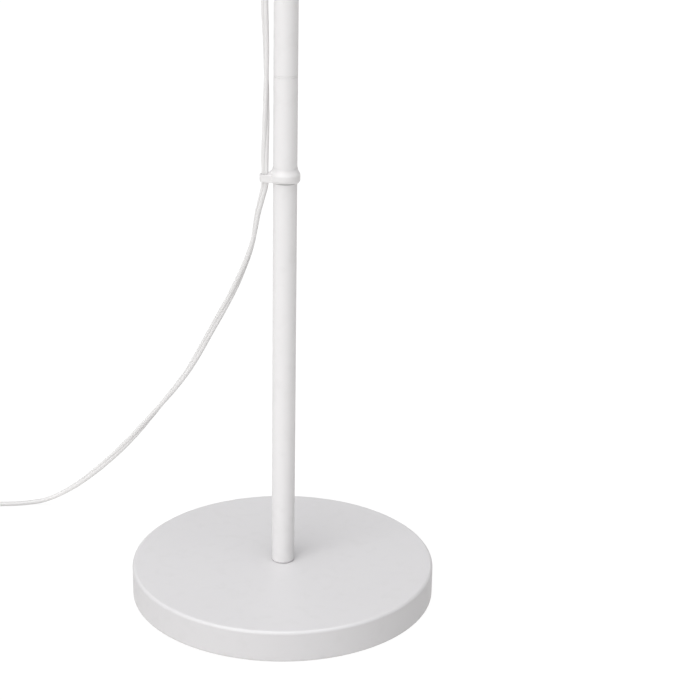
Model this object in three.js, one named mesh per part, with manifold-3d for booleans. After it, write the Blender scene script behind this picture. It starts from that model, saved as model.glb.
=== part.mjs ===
// Arc floor lamp: a weighted disc base, a pole of three screwed tubes, a turning arc with a tilting dome
// shade, and a flat twin cord that runs down outside the pole through clips to a foot switch and a plug.
// Millimetres, +Z up. The origin is the middle of the base's underside, on the pole's axis. The arc
// reaches towards +X and the cord hangs on the -X side.

import * as THREE from 'three';
import { mergeVertices } from 'three/addons/utils/BufferGeometryUtils.js';
import Module from 'manifold-3d';

const wasm = await Module();
wasm.setup();

// Driving dimensions
const GAP = 0.3;

const BASE_RADIUS = 150;
const BASE_HEIGHT = 32;
const BASE_FILLET = 4.5;
const COVER_WALL = 1.3;
const COVER_CLEARANCE = 1;
const WEIGHT_HEIGHT = 14;
const PAD_HEIGHT = 2.7;
const PLATE_HEIGHT = 2;

const TUBE_RADIUS = 11.25;
const TUBE_WALL = 1.25;
const FOOT_FILLET = 2.5;
const SECTION_PITCH = 492.4;
const JOINT_RING = 1.6;
const FIRST_JOINT_HEIGHT = 524;
const SPIGOT_LENGTH = 28;

const ARC_RADIUS = 330;
const ARC_LEAD = 34;
const ARC_JOINT_ANGLE = 82;
const ARC_END_ANGLE = 160;

const CORD_WIDTH = 6.2;
const CORD_RADIUS = CORD_WIDTH / 2;
const CORD_OFFSET = 18.8;
const CORD_BORE = 3.5;
const OUTLET_HEIGHT = 1440;
const CLIP_HEIGHT = 429;
const SLEEVE_LENGTH = 26;

const SHADE_RADIUS = 130;
const SHADE_HEIGHT = 150;
const SHADE_WALL = 1.2;
const BULB_RADIUS = 47.5;

const SWITCH_X = -378;
const SWITCH_Y = 85;
const SWITCH_LENGTH = 84;
const SWITCH_WIDTH = 30;
const SWITCH_CORD_HEIGHT = 7;
const COIL_RADIUS = 34;
const COIL_Y = -55;
const COIL_BAND = 10;
const COIL_HEIGHT = 13;
const PLUG_Y = -146;
const PLUG_CORD_HEIGHT = 7;

const TUBE_INNER = TUBE_RADIUS - TUBE_WALL;
const SPIGOT_RADIUS = TUBE_INNER - GAP;
const SECOND_JOINT_HEIGHT = FIRST_JOINT_HEIGHT + SECTION_PITCH;
const POLE_TOP = SECOND_JOINT_HEIGHT + SECTION_PITCH - JOINT_RING / 2 - GAP;
const HALF_JOINT = JOINT_RING / 2 + GAP;

// Finishes
function finish(color, roughness, metalness = 0) {
  return new THREE.MeshStandardMaterial({ color, roughness, metalness });
}

const whiteCoat = finish(0xe9e8e6, 0.45);
const whitePlastic = finish(0xeceae6, 0.4);
const whiteFlex = finish(0xe8e7e3, 0.5);
const castIron = finish(0x4c4d4f, 0.8, 0.6);
const greyFelt = finish(0x8d8d8b, 0.95);
const blackPlastic = finish(0x2b2b2c, 0.6);
const zincSteel = finish(0xb9bcbf, 0.35, 1);
const brass = finish(0xc8a452, 0.3, 1);
const opalGlass = finish(0xf6f4ee, 0.25);

const lamp = new THREE.Group();

// Shape helpers
function add(name, geometry, material, parent = lamp) {
  const mesh = new THREE.Mesh(geometry, material);
  mesh.name = name;
  parent.add(mesh);
  return mesh;
}

// A quarter-circle of profile points about (r, z), between two angles in degrees.
function bend(r, z, radius, from, to, steps = 5) {
  const points = [];
  for (let i = 0; i <= steps; i += 1) {
    const angle = THREE.MathUtils.degToRad(from + ((to - from) * i) / steps);
    points.push([r + radius * Math.cos(angle), z + radius * Math.sin(angle)]);
  }
  return points;
}

// A solid of revolution about Z. The profile is [r, z] pairs, anticlockwise.
function turned(profile, sides = 16) {
  const points = profile.map(([r, z]) => new THREE.Vector2(r, z));
  return new THREE.LatheGeometry(points, sides).rotateX(Math.PI / 2);
}

function closedRing(profile, sides = 16) {
  return turned([...profile, profile[0]], sides);
}

// A plain ring or, with no inner radius, a plain disc.
function disc(inner, outer, low, high, sides = 16) {
  if (inner === 0) {
    return turned([[0, low], [outer, low], [outer, high], [0, high]], sides);
  }
  return closedRing([[inner, low], [outer, low], [outer, high], [inner, high]], sides);
}

// A flat outline of [x, y] points, pushed up from low to high.
function plate(outline, low, high) {
  const shape = new THREE.Shape(outline.map(([x, y]) => new THREE.Vector2(x, y)));
  return new THREE.ExtrudeGeometry(shape, { depth: high - low, bevelEnabled: false }).translate(0, 0, low);
}

// An outline with round ends: length along Y, width along X.
function stadium(length, width, steps = 6) {
  const radius = width / 2;
  const reach = length / 2 - radius;
  const points = [];
  for (const [side, start] of [[1, 0], [-1, 180]]) {
    for (let i = 0; i <= steps; i += 1) {
      const angle = THREE.MathUtils.degToRad(start + (180 * i) / steps);
      points.push([radius * Math.cos(angle), side * reach + radius * Math.sin(angle)]);
    }
  }
  return points;
}

function circleShape(radius, sides, hole = 0) {
  const ring = (r) => {
    const points = [];
    for (let i = 0; i < sides; i += 1) {
      const angle = (2 * Math.PI * i) / sides;
      points.push(new THREE.Vector2(r * Math.cos(angle), r * Math.sin(angle)));
    }
    return points;
  };
  const shape = new THREE.Shape(ring(radius));
  if (hole > 0) {
    shape.holes.push(new THREE.Path(ring(hole)));
  }
  return shape;
}

function swept(path, shape, steps) {
  return new THREE.ExtrudeGeometry(shape, { steps, bevelEnabled: false, extrudePath: path });
}

function smoothPath(points) {
  return new THREE.CatmullRomCurve3(points.map(([x, y, z]) => new THREE.Vector3(x, y, z)), false, 'centripetal');
}

// Joining and cutting
function toSolid(geometry) {
  const bare = geometry.clone();
  bare.deleteAttribute('normal');
  bare.deleteAttribute('uv');
  const merged = mergeVertices(bare, 1e-4);
  const index = merged.index.array;
  const faces = [];
  for (let i = 0; i < index.length; i += 3) {
    const [a, b, c] = [index[i], index[i + 1], index[i + 2]];
    if (a !== b && b !== c && a !== c) {
      faces.push(a, b, c);
    }
  }
  const vertProperties = new Float32Array(merged.attributes.position.array);
  return new wasm.Manifold(new wasm.Mesh({ numProp: 3, vertProperties, triVerts: new Uint32Array(faces) }));
}

function toGeometry(solid) {
  const mesh = solid.getMesh();
  const geometry = new THREE.BufferGeometry();
  geometry.setAttribute('position', new THREE.BufferAttribute(mesh.vertProperties, 3));
  geometry.setIndex(new THREE.BufferAttribute(mesh.triVerts, 1));
  geometry.computeVertexNormals();
  return geometry;
}

function joined(first, ...others) {
  return toGeometry(others.reduce((solid, other) => solid.add(toSolid(other)), toSolid(first)));
}

function cut(first, ...others) {
  return toGeometry(others.reduce((solid, other) => solid.subtract(toSolid(other)), toSolid(first)));
}

// A round bar along X or Y through a point.
function barX(radius, from, to, y, z, sides = 12) {
  return new THREE.CylinderGeometry(radius, radius, to - from, sides)
    .rotateZ(-Math.PI / 2)
    .translate((from + to) / 2, y, z);
}

function barY(radius, from, to, x, z, sides = 12) {
  return new THREE.CylinderGeometry(radius, radius, to - from, sides).translate(x, (from + to) / 2, z);
}

function hexagonPrism(acrossFlats, low, high) {
  const radius = acrossFlats / Math.sqrt(3);
  return new THREE.CylinderGeometry(radius, radius, high - low, 6)
    .rotateX(Math.PI / 2)
    .translate(0, 0, (low + high) / 2);
}

// Base: a steel cover over an iron disc, closed by a plastic plate on a felt pad
const BOLT_RADIUS = 4.9;
const BOLT_HOLE = 5.3;
const innerFillet = BASE_FILLET - COVER_WALL;
const filletCentre = [BASE_RADIUS - BASE_FILLET, BASE_HEIGHT - BASE_FILLET];
const coverLip = 1.2;

add('base_cover', closedRing([
  [BASE_RADIUS - COVER_WALL, COVER_CLEARANCE],
  ...bend(BASE_RADIUS - coverLip, COVER_CLEARANCE + coverLip, coverLip, -90, 0, 2),
  ...bend(...filletCentre, BASE_FILLET, 0, 90, 4),
  [BOLT_HOLE, BASE_HEIGHT],
  [BOLT_HOLE, BASE_HEIGHT - COVER_WALL],
  ...bend(...filletCentre, innerFillet, 90, 0, 2),
], 48), whiteCoat);

const weightTop = BASE_HEIGHT - COVER_WALL - GAP;
const weightBottom = weightTop - WEIGHT_HEIGHT;
const weightRadius = BASE_RADIUS - COVER_WALL - 1;
add('base_weight', closedRing([
  [BOLT_HOLE, weightBottom],
  [weightRadius - 2, weightBottom],
  [weightRadius, weightBottom + 2],
  [weightRadius, weightTop - BASE_FILLET],
  [weightRadius - BASE_FILLET, weightTop],
  [BOLT_HOLE, weightTop],
], 28), castIron);

add('felt_pad', disc(0, BASE_RADIUS - 9, 0, PAD_HEIGHT, 28), greyFelt);

const plateBottom = PAD_HEIGHT + GAP;
const plateTop = plateBottom + PLATE_HEIGHT;
add('base_plate', closedRing([
  [16, plateBottom],
  [BASE_RADIUS - 4, plateBottom],
  [BASE_RADIUS - COVER_WALL - 3 * GAP, plateBottom + 1],
  [BASE_RADIUS - COVER_WALL - 3 * GAP, plateTop],
  [BASE_RADIUS - 4, plateTop],
  [BASE_RADIUS - 4, weightBottom - GAP],
  [BASE_RADIUS - 7, weightBottom - GAP],
  [BASE_RADIUS - 7, plateTop],
  [16, plateTop],
], 28), blackPlastic);

const WASHER_HEIGHT = 1.4;
const HEAD_HEIGHT = 6.2;
const washerTop = weightBottom - GAP;
const headTop = washerTop - WASHER_HEIGHT - GAP;
const boltTop = BASE_HEIGHT + 36;
add('bolt_washer', disc(BOLT_HOLE, 12, washerTop - WASHER_HEIGHT, washerTop, 16), zincSteel);
add('centre_bolt', joined(
  hexagonPrism(17, headTop - HEAD_HEIGHT, headTop),
  disc(0, BOLT_RADIUS, headTop - 1, boltTop, 12),
), zincSteel);

// Pole: three tubes joined by threaded couplers
const footBottom = BASE_HEIGHT + GAP;
const footInner = TUBE_RADIUS - FOOT_FILLET;
const footBend = footBottom + FOOT_FILLET;

add('foot_insert', closedRing([
  [BOLT_HOLE, footBend + GAP],
  [SPIGOT_RADIUS, footBend + GAP],
  [SPIGOT_RADIUS, footBend + 35],
  [BOLT_HOLE, footBend + 35],
], 16), zincSteel);

add('lower_tube', closedRing([
  ...bend(footInner, footBend, FOOT_FILLET, -90, 0, 3),
  [TUBE_RADIUS, FIRST_JOINT_HEIGHT - HALF_JOINT],
  [TUBE_INNER, FIRST_JOINT_HEIGHT - HALF_JOINT],
  ...bend(footInner, footBend, FOOT_FILLET - TUBE_WALL, 0, -90, 2),
]), whiteCoat);

const COUPLER_BORE = 4.6;

function coupler() {
  const half = JOINT_RING / 2;
  const rim = TUBE_RADIUS - 0.1;
  const neck = SPIGOT_RADIUS;
  return closedRing([
    [COUPLER_BORE, -half - SPIGOT_LENGTH],
    [neck - 0.6, -half - SPIGOT_LENGTH],
    [neck, -half - SPIGOT_LENGTH + 0.6],
    [neck, -half],
    [rim, -half],
    [rim, half],
    [neck, half],
    [neck, half + SPIGOT_LENGTH - 0.6],
    [neck - 0.6, half + SPIGOT_LENGTH],
    [COUPLER_BORE, half + SPIGOT_LENGTH],
  ], 14);
}

add('coupler_lower', coupler(), whiteCoat).position.z = FIRST_JOINT_HEIGHT;
add('coupler_upper', coupler(), whiteCoat).position.z = SECOND_JOINT_HEIGHT;

add('middle_tube', disc(
  TUBE_INNER,
  TUBE_RADIUS,
  FIRST_JOINT_HEIGHT + HALF_JOINT,
  SECOND_JOINT_HEIGHT - HALF_JOINT,
), whiteCoat);

const OUTLET_NECK = 3.7;
add('upper_tube', cut(
  disc(TUBE_INNER, TUBE_RADIUS, SECOND_JOINT_HEIGHT + HALF_JOINT, POLE_TOP),
  barX(OUTLET_NECK + GAP, -TUBE_RADIUS - 5, 0, 0, OUTLET_HEIGHT),
), whiteCoat);

// Cord outlet: a hood on the pole's side with its mouth down, and the tapered sleeve below it
const HOOD_RADIUS = 5.9;
const hoodBottom = OUTLET_HEIGHT - 8;
const hoodTop = OUTLET_HEIGHT + 9;
const hood = joined(
  turned([
    [0, hoodBottom],
    [HOOD_RADIUS, hoodBottom],
    ...bend(0, hoodTop - HOOD_RADIUS, HOOD_RADIUS, 0, 90, 3),
  ], 14).translate(-CORD_OFFSET, 0, 0),
  barX(HOOD_RADIUS, -CORD_OFFSET, -TUBE_RADIUS + 2, 0, OUTLET_HEIGHT, 14),
);
const hoodOnPole = cut(hood, disc(0, TUBE_RADIUS + GAP, hoodBottom - 5, hoodTop + 5));
add('cord_outlet', cut(
  joined(hoodOnPole, barX(OUTLET_NECK, -CORD_OFFSET, -TUBE_INNER + 2.5, 0, OUTLET_HEIGHT)),
  disc(0, CORD_BORE, hoodBottom - 5, OUTLET_HEIGHT + 1, 12).translate(-CORD_OFFSET, 0, 0),
  barX(2.6, -CORD_OFFSET, 0, 0, OUTLET_HEIGHT, 12),
), whitePlastic);

// The tapered sleeve of a strain relief, from its wide end at 0 down to its narrow end.
function reliefSleeve() {
  return closedRing([
    [CORD_BORE, -SLEEVE_LENGTH],
    [CORD_BORE + 0.9, -SLEEVE_LENGTH],
    [CORD_BORE + 2, 0],
    [CORD_BORE, 0],
  ], 12);
}

const sleeveTop = hoodBottom - GAP;
add('outlet_sleeve', reliefSleeve(), whitePlastic).position.set(-CORD_OFFSET, 0, sleeveTop);

// Cord clips: a ring with a cone-shaped top and a hook that holds the cord
const CLIP_BORE = TUBE_RADIUS + GAP;
const CLIP_RADIUS = 14.1;
const HOOK_WALL = 1.5;
const HOOK_INNER = CORD_RADIUS + 0.4;
const HOOK_OUTER = HOOK_INNER + HOOK_WALL;
const HOOK_LOW = -5;
const HOOK_HIGH = 1.8;

function cordClip() {
  const ring = closedRing([
    [CLIP_BORE, -6.4],
    [12.4, -6.4],
    [CLIP_RADIUS, -3.2],
    [CLIP_RADIUS, 2.8],
    [CLIP_BORE + 0.3, 6.8],
    [CLIP_BORE, 6.8],
  ], 20);
  const hookOutline = [
    ...bend(-CORD_OFFSET, 0, HOOK_OUTER, 130, 262, 7),
    [-CLIP_BORE * 0.8, -CLIP_BORE * 0.72],
    [-CLIP_BORE - 0.6, -0.6],
    ...bend(-CORD_OFFSET, 0, HOOK_INNER, 330, 130, 10),
  ];
  const gusset = new THREE.ExtrudeGeometry(new THREE.Shape([
    new THREE.Vector2(-CLIP_BORE + 1, HOOK_LOW),
    new THREE.Vector2(-CLIP_BORE + 1, 6.4),
    new THREE.Vector2(-CLIP_BORE - 0.6, 6.4),
    new THREE.Vector2(-CORD_OFFSET + 2.6, HOOK_HIGH),
    new THREE.Vector2(-CORD_OFFSET + 2.6, HOOK_LOW),
  ]), { depth: 2.6, bevelEnabled: false }).rotateX(Math.PI / 2).translate(0, -2.6, 0);
  const bore = disc(0, CLIP_BORE, -20, 20, 20);
  const cordWay = disc(0, HOOK_INNER, -20, 20, 14).translate(-CORD_OFFSET, 0, 0);
  return cut(joined(ring, plate(hookOutline, HOOK_LOW, HOOK_HIGH), gusset), bore, cordWay);
}

const clipHeights = {
  cord_clip_lower: CLIP_HEIGHT,
  cord_clip_middle: CLIP_HEIGHT + SECTION_PITCH,
  cord_clip_upper: CLIP_HEIGHT + 1.78 * SECTION_PITCH,
};
for (const [name, height] of Object.entries(clipHeights)) {
  add(name, cordClip(), whitePlastic).position.z = height;
}

// Swivel on top of the pole: a plastic bush in the pole, a steel spigot in the arc
const BUSH_BORE = 6.3;
const SPIGOT_PIN = BUSH_BORE - GAP;
const FLEX_BORE = 3.4;
const BUSH_DEPTH = 38;
const bushTop = POLE_TOP + GAP + 2;
const arcFoot = bushTop + GAP;

add('swivel_bush', closedRing([
  [BUSH_BORE, POLE_TOP - BUSH_DEPTH],
  [SPIGOT_RADIUS, POLE_TOP - BUSH_DEPTH],
  [SPIGOT_RADIUS, POLE_TOP + GAP],
  [TUBE_RADIUS, POLE_TOP + GAP],
  [TUBE_RADIUS, bushTop],
  [BUSH_BORE, bushTop],
], 16), blackPlastic);

add('swivel_spigot', closedRing([
  [FLEX_BORE, POLE_TOP - BUSH_DEPTH + 4],
  [SPIGOT_PIN, POLE_TOP - BUSH_DEPTH + 4],
  [SPIGOT_PIN, arcFoot + 0.5],
  [SPIGOT_RADIUS, arcFoot + 0.5],
  [SPIGOT_RADIUS, arcFoot + ARC_LEAD - 4],
  [FLEX_BORE, arcFoot + ARC_LEAD - 4],
], 16), zincSteel);

// Arc: a straight lead, then a bend from the vertical round to its end angle
const arcStart = arcFoot + ARC_LEAD;

function arcPoint(angle) {
  const turn = THREE.MathUtils.degToRad(angle);
  return new THREE.Vector3(ARC_RADIUS * (1 - Math.cos(turn)), 0, arcStart + ARC_RADIUS * Math.sin(turn));
}

function arcDirection(angle) {
  const turn = THREE.MathUtils.degToRad(angle);
  return new THREE.Vector3(Math.sin(turn), 0, Math.cos(turn));
}

// The arc's centre line between two angles, with straight stretches before and after.
class ArcPath extends THREE.Curve {
  constructor(from, to, lead, tail) {
    super();
    this.from = from;
    this.to = to;
    this.lead = lead;
    this.tail = tail;
    this.bendLength = THREE.MathUtils.degToRad(to - from) * ARC_RADIUS;
  }

  getPoint(t, target = new THREE.Vector3()) {
    const along = t * (this.lead + this.bendLength + this.tail);
    if (along < this.lead) {
      return target.copy(arcPoint(this.from)).addScaledVector(arcDirection(this.from), along - this.lead);
    }
    const beyond = along - this.lead - this.bendLength;
    if (beyond > 0) {
      return target.copy(arcPoint(this.to)).addScaledVector(arcDirection(this.to), beyond);
    }
    const share = (along - this.lead) / this.bendLength;
    return target.copy(arcPoint(this.from + (this.to - this.from) * share));
  }
}

const jointHalfAngle = THREE.MathUtils.radToDeg(HALF_JOINT / ARC_RADIUS);
const rearPath = new ArcPath(0, ARC_JOINT_ANGLE - jointHalfAngle, ARC_LEAD, 0);
const frontPath = new ArcPath(ARC_JOINT_ANGLE + jointHalfAngle, ARC_END_ANGLE, 0, 30);
const arcSection = circleShape(TUBE_RADIUS, 16, TUBE_INNER);
add('arc_tube_rear', swept(rearPath, arcSection, 11), whiteCoat);
add('arc_tube_front', swept(frontPath, arcSection, 10), whiteCoat);

const ARC_SPIGOT = 18;
const arcCoupler = add('arc_coupler', closedRing([
  [COUPLER_BORE, -ARC_SPIGOT],
  [SPIGOT_RADIUS - 1.8, -ARC_SPIGOT],
  [SPIGOT_RADIUS - 0.8, -JOINT_RING / 2],
  [TUBE_RADIUS - 0.1, -JOINT_RING / 2],
  [TUBE_RADIUS - 0.1, JOINT_RING / 2],
  [SPIGOT_RADIUS - 0.8, JOINT_RING / 2],
  [SPIGOT_RADIUS - 1.8, ARC_SPIGOT],
  [COUPLER_BORE, ARC_SPIGOT],
], 14), whiteCoat);
arcCoupler.position.copy(arcPoint(ARC_JOINT_ANGLE));
arcCoupler.rotation.y = THREE.MathUtils.degToRad(ARC_JOINT_ANGLE);

// Tilting joint at the arc's end: a fork on the tube, a stem on the lampholder, a clamp screw through both
const FORK_SHOULDER = 2;
const FORK_CHEEK = 3;
const LUG_THICKNESS = 8;
const PIVOT_REACH = 17;
const FORK_END = PIVOT_REACH + 7.5;
const SCREW_RADIUS = 2.5;
const SCREW_HOLE = SCREW_RADIUS + GAP;
const cheekInner = LUG_THICKNESS / 2 + GAP;
const cheekOuter = cheekInner + FORK_CHEEK;

const arcTip = new THREE.Group();
arcTip.position.copy(arcPoint(ARC_END_ANGLE)).addScaledVector(arcDirection(ARC_END_ANGLE), 30);
arcTip.rotation.y = THREE.MathUtils.degToRad(ARC_END_ANGLE);
lamp.add(arcTip);

const forkBody = joined(
  disc(0, SPIGOT_RADIUS, -22, GAP + 0.5),
  disc(0, TUBE_RADIUS, GAP, GAP + FORK_SHOULDER),
  new THREE.BoxGeometry(15, 2 * cheekOuter, PIVOT_REACH).translate(0, 0, PIVOT_REACH / 2 + 1),
  barY(7.5, -cheekOuter, cheekOuter, 0, PIVOT_REACH, 16),
);
add('arc_fork', cut(
  forkBody,
  new THREE.BoxGeometry(24, 2 * cheekInner, FORK_END).translate(0, 0, 5.5 + FORK_END / 2),
  barY(SCREW_HOLE, -20, 20, 0, PIVOT_REACH),
  disc(0, FLEX_BORE, -30, 8, 16),
), whiteCoat, arcTip);

const pivot = new THREE.Vector3(0, 0, PIVOT_REACH)
  .applyAxisAngle(new THREE.Vector3(0, 1, 0), arcTip.rotation.y)
  .add(arcTip.position);

const KNOB_RADIUS = 8;
const KNOB_LENGTH = 11;
const knobStart = -cheekOuter - GAP;
const atPivot = new THREE.Group();
atPivot.position.copy(pivot);
lamp.add(atPivot);
const knobGrips = [];
for (let i = 0; i < 6; i += 1) {
  const angle = (Math.PI * i) / 3;
  knobGrips.push(barY(2, -40, knobStart - 2.5, 8.9 * Math.cos(angle), 8.9 * Math.sin(angle), 10));
}
const knobEnd = knobStart - KNOB_LENGTH;
add('tilt_screw', cut(
  joined(
    barY(SCREW_RADIUS, knobStart - 1, cheekOuter + 5.5, 0, 0),
    barY(KNOB_RADIUS, knobEnd, knobStart, 0, 0, 18),
  ),
  ...knobGrips,
), blackPlastic, atPivot);
add('tilt_nut', cut(
  hexagonPrism(9, cheekOuter + GAP, cheekOuter + GAP + 4).rotateX(-Math.PI / 2),
  barY(SCREW_HOLE, -20, 40, 0, 0),
), zincSteel, atPivot);

// Lampholder, hanging straight down from the pivot; its own Z runs down
const hanger = new THREE.Group();
hanger.position.copy(pivot);
hanger.rotation.y = Math.PI;
lamp.add(hanger);

const STEM_END = 20;
const CAP_RADIUS = 20;
const CAP_END = STEM_END + 24;
const HOLDER_RADIUS = 17;
const HOLDER_END = 84;
const THREAD_RADIUS = 13.2;
const SHADE_SEAT = CAP_END + 9;

add('lamp_stem', cut(
  joined(
    barY(7, -LUG_THICKNESS / 2, LUG_THICKNESS / 2, 0, 0, 16),
    new THREE.BoxGeometry(13, LUG_THICKNESS, 10).translate(0, 0, 6),
    disc(0, 6, 9.5, STEM_END + 6, 20),
  ),
  barY(SCREW_HOLE, -20, 20, 0, 0),
  disc(0, 2.6, 12, STEM_END + 10, 12),
), whiteCoat, hanger);

add('holder_cap', closedRing([
  [6 + GAP, STEM_END - 3],
  [9, STEM_END - 3],
  ...bend(CAP_RADIUS - 8, STEM_END + 8, 8, -90, 0, 3),
  [CAP_RADIUS, CAP_END],
  [CAP_RADIUS - 1.6, CAP_END],
  ...bend(CAP_RADIUS - 8, STEM_END + 8, 6.4, 0, -90, 2),
  [6 + GAP, STEM_END + 1.6],
]), whitePlastic, hanger);

add('holder_shell', closedRing([
  [15, CAP_END + GAP],
  [CAP_RADIUS, CAP_END + GAP],
  [CAP_RADIUS, SHADE_SEAT - GAP],
  [HOLDER_RADIUS, SHADE_SEAT - GAP],
  [HOLDER_RADIUS, HOLDER_END],
  [15, HOLDER_END],
]), whitePlastic, hanger);

add('shade_ring', closedRing([
  [HOLDER_RADIUS + GAP, SHADE_SEAT + SHADE_WALL + GAP],
  [HOLDER_RADIUS + 5, SHADE_SEAT + SHADE_WALL + GAP],
  [HOLDER_RADIUS + 5, SHADE_SEAT + SHADE_WALL + 3],
  [HOLDER_RADIUS + 3, SHADE_SEAT + SHADE_WALL + 8],
  [HOLDER_RADIUS + GAP, SHADE_SEAT + SHADE_WALL + 8],
]), whitePlastic, hanger);

add('screw_shell', closedRing([
  [THREAD_RADIUS + 0.5, CAP_END + 14],
  [14.5, CAP_END + 14],
  [14.5, HOLDER_END - 2],
  [THREAD_RADIUS + 0.5, HOLDER_END - 2],
]), brass, hanger);

add('centre_contact', disc(0, 4, CAP_END + 6, CAP_END + 9, 12), brass, hanger);
add('holder_floor', disc(0, 14.5, CAP_END + 2, CAP_END + 5.6, 20), whitePlastic, hanger);

add('bulb_cap', turned([
  [0, CAP_END + 9.4],
  [4, CAP_END + 9.4],
  [THREAD_RADIUS - 2, CAP_END + 14],
  [THREAD_RADIUS, CAP_END + 16],
  [THREAD_RADIUS, HOLDER_END + 1],
  [0, HOLDER_END + 1],
], 24), brass, hanger);

const BULB_NECK = 13;
const bulbCentre = HOLDER_END + 12 + BULB_RADIUS;
const neckAngle = THREE.MathUtils.radToDeg(Math.acos(BULB_NECK / BULB_RADIUS));
const GLASS_WALL = 1;
add('bulb_globe', turned([
  [BULB_NECK - GLASS_WALL, HOLDER_END + 1 + GAP],
  [BULB_NECK, HOLDER_END + 1 + GAP],
  ...bend(0, bulbCentre, BULB_RADIUS, -neckAngle, 90, 8),
  ...bend(0, bulbCentre, BULB_RADIUS - GLASS_WALL, 90, -neckAngle, 8),
  [BULB_NECK - GLASS_WALL, HOLDER_END + 1 + GAP],
]), opalGlass, hanger);

// Shade: a spun dome. Its outer profile is a quarter of an ellipse below a flat crown.
function domeProfile(radius, height, crown, steps) {
  const points = [];
  for (let i = 0; i <= steps; i += 1) {
    const angle = (Math.PI / 2) * (i / steps);
    const r = crown + (radius - crown) * Math.sin(angle);
    points.push([r, height * (1 - Math.cos(angle))]);
  }
  return points;
}

const outerDome = domeProfile(SHADE_RADIUS, SHADE_HEIGHT, 24, 8);
const innerDome = domeProfile(SHADE_RADIUS - SHADE_WALL, SHADE_HEIGHT - SHADE_WALL, 24 - SHADE_WALL, 8)
  .map(([r, z]) => [r, z + SHADE_WALL]);
add('shade', closedRing([
  [HOLDER_RADIUS + GAP, 0],
  ...outerDome,
  ...innerDome.reverse(),
  [HOLDER_RADIUS + GAP, SHADE_WALL],
], 30).translate(0, 0, SHADE_SEAT), whiteCoat, hanger);

// Flex inside the pole and the arc, ending at the swivel and at the fork
const INNER_FLEX = 2.3;
add('inner_flex_pole', swept(smoothPath([
  [-6, 0, OUTLET_HEIGHT],
  [-3.2, 0, OUTLET_HEIGHT + 2.5],
  [-0.6, 0, OUTLET_HEIGHT + 9],
  [0, 0, OUTLET_HEIGHT + 20],
  [0, 0, POLE_TOP - GAP],
]), circleShape(INNER_FLEX, 6), 10), whiteFlex);
const flexPath = new ArcPath(0, ARC_END_ANGLE, ARC_LEAD + 2, 20);
add('inner_flex_arc', swept(flexPath, circleShape(INNER_FLEX, 6), 20), whiteFlex);

// Cord: down beside the pole, swinging out behind to the floor, round to the foot switch
const floorLevel = CORD_RADIUS + 0.1;
const switchIn = SWITCH_Y + SWITCH_LENGTH / 2 + GAP;
const switchOut = SWITCH_Y - SWITCH_LENGTH / 2 - GAP;
const uprightEnd = CLIP_HEIGHT - 9;
const uprightRoute = [
  [-CORD_OFFSET, 0, sleeveTop - 2],
  [-CORD_OFFSET, 0, uprightEnd],
];
const dropRoute = [
  [-CORD_OFFSET, 0, uprightEnd - GAP],
  [-19.6, 0.7, 410],
  [-23.6, 4, 392],
  [-31, 11, 358],
  [-47, 24, 314],
  [-70, 44, 264],
  [-98, 68, 206],
  [-130, 96, 154],
  [-165, 124, 104],
  [-200, 152, 61],
  [-232, 176, 29],
  [-262, 191, 9],
  [-290, 190, floorLevel],
  [-318, 191, floorLevel],
  [-344, 194, floorLevel],
  [-367, 187, 4.8],
  [-377.5, 172, 6.8],
  [SWITCH_X, 162, SWITCH_CORD_HEIGHT],
  [SWITCH_X, 140, SWITCH_CORD_HEIGHT],
  [SWITCH_X, switchIn, SWITCH_CORD_HEIGHT],
];
const cordSection = circleShape(CORD_RADIUS, 8);
add('cord_upright', swept(smoothPath(uprightRoute), cordSection, 2), whiteFlex);
add('cord_drop', swept(smoothPath(dropRoute), cordSection, 46), whiteFlex);

// Foot switch: two shells with the flex clamped between them, a block inside, a button on top
const switchMiddle = SWITCH_CORD_HEIGHT;
const SHELL_WALL = 2;
const SWITCH_HEIGHT = 20;
const BUTTON_RADIUS = 9;
const BUTTON_TRAVEL = 2.5;
const switchOutline = stadium(SWITCH_LENGTH, SWITCH_WIDTH);
const switchHollow = stadium(SWITCH_LENGTH - 2 * SHELL_WALL - 8, SWITCH_WIDTH - 2 * SHELL_WALL);
const cordWays = barY(CORD_BORE, -SWITCH_LENGTH, SWITCH_LENGTH, 0, switchMiddle);

const atSwitch = new THREE.Group();
atSwitch.position.set(SWITCH_X, SWITCH_Y, 0);
lamp.add(atSwitch);

add('switch_lower_shell', cut(
  plate(switchOutline, 0, switchMiddle - GAP / 2),
  plate(switchHollow, SHELL_WALL, 30),
  cordWays,
), whitePlastic, atSwitch);

const shellTop = new THREE.ExtrudeGeometry(
  new THREE.Shape(stadium(SWITCH_LENGTH - 6, SWITCH_WIDTH - 6).map(([x, y]) => new THREE.Vector2(x, y))),
  { depth: 0.5, bevelThickness: 3, bevelSize: 3, bevelSegments: 2 },
).translate(0, 0, SWITCH_HEIGHT - 3.5);
const upperShellBody = joined(plate(switchOutline, switchMiddle + GAP / 2, SWITCH_HEIGHT - 3.2), shellTop);
add('switch_upper_shell', cut(
  upperShellBody,
  plate(switchHollow, 0, SWITCH_HEIGHT - SHELL_WALL),
  plate(stadium(60, 60), 0, switchMiddle + GAP / 2),
  disc(0, BUTTON_RADIUS + GAP, 0, 40, 20),
  cordWays,
), whitePlastic, atSwitch);

add('switch_button', turned([
  [0, SWITCH_HEIGHT - 7.5],
  [BUTTON_RADIUS + 2, SWITCH_HEIGHT - 7.5],
  [BUTTON_RADIUS + 2, SWITCH_HEIGHT - 6],
  [BUTTON_RADIUS, SWITCH_HEIGHT - 6],
  ...bend(BUTTON_RADIUS - 1.5, SWITCH_HEIGHT + BUTTON_TRAVEL, 1.5, 0, 90, 3),
  [0, SWITCH_HEIGHT + BUTTON_TRAVEL + 1.9],
], 20), whitePlastic, atSwitch);

add('switch_block', new THREE.BoxGeometry(18, 26, 7)
  .translate(0, 0, SHELL_WALL + GAP + 3.5), blackPlastic, atSwitch);

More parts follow.
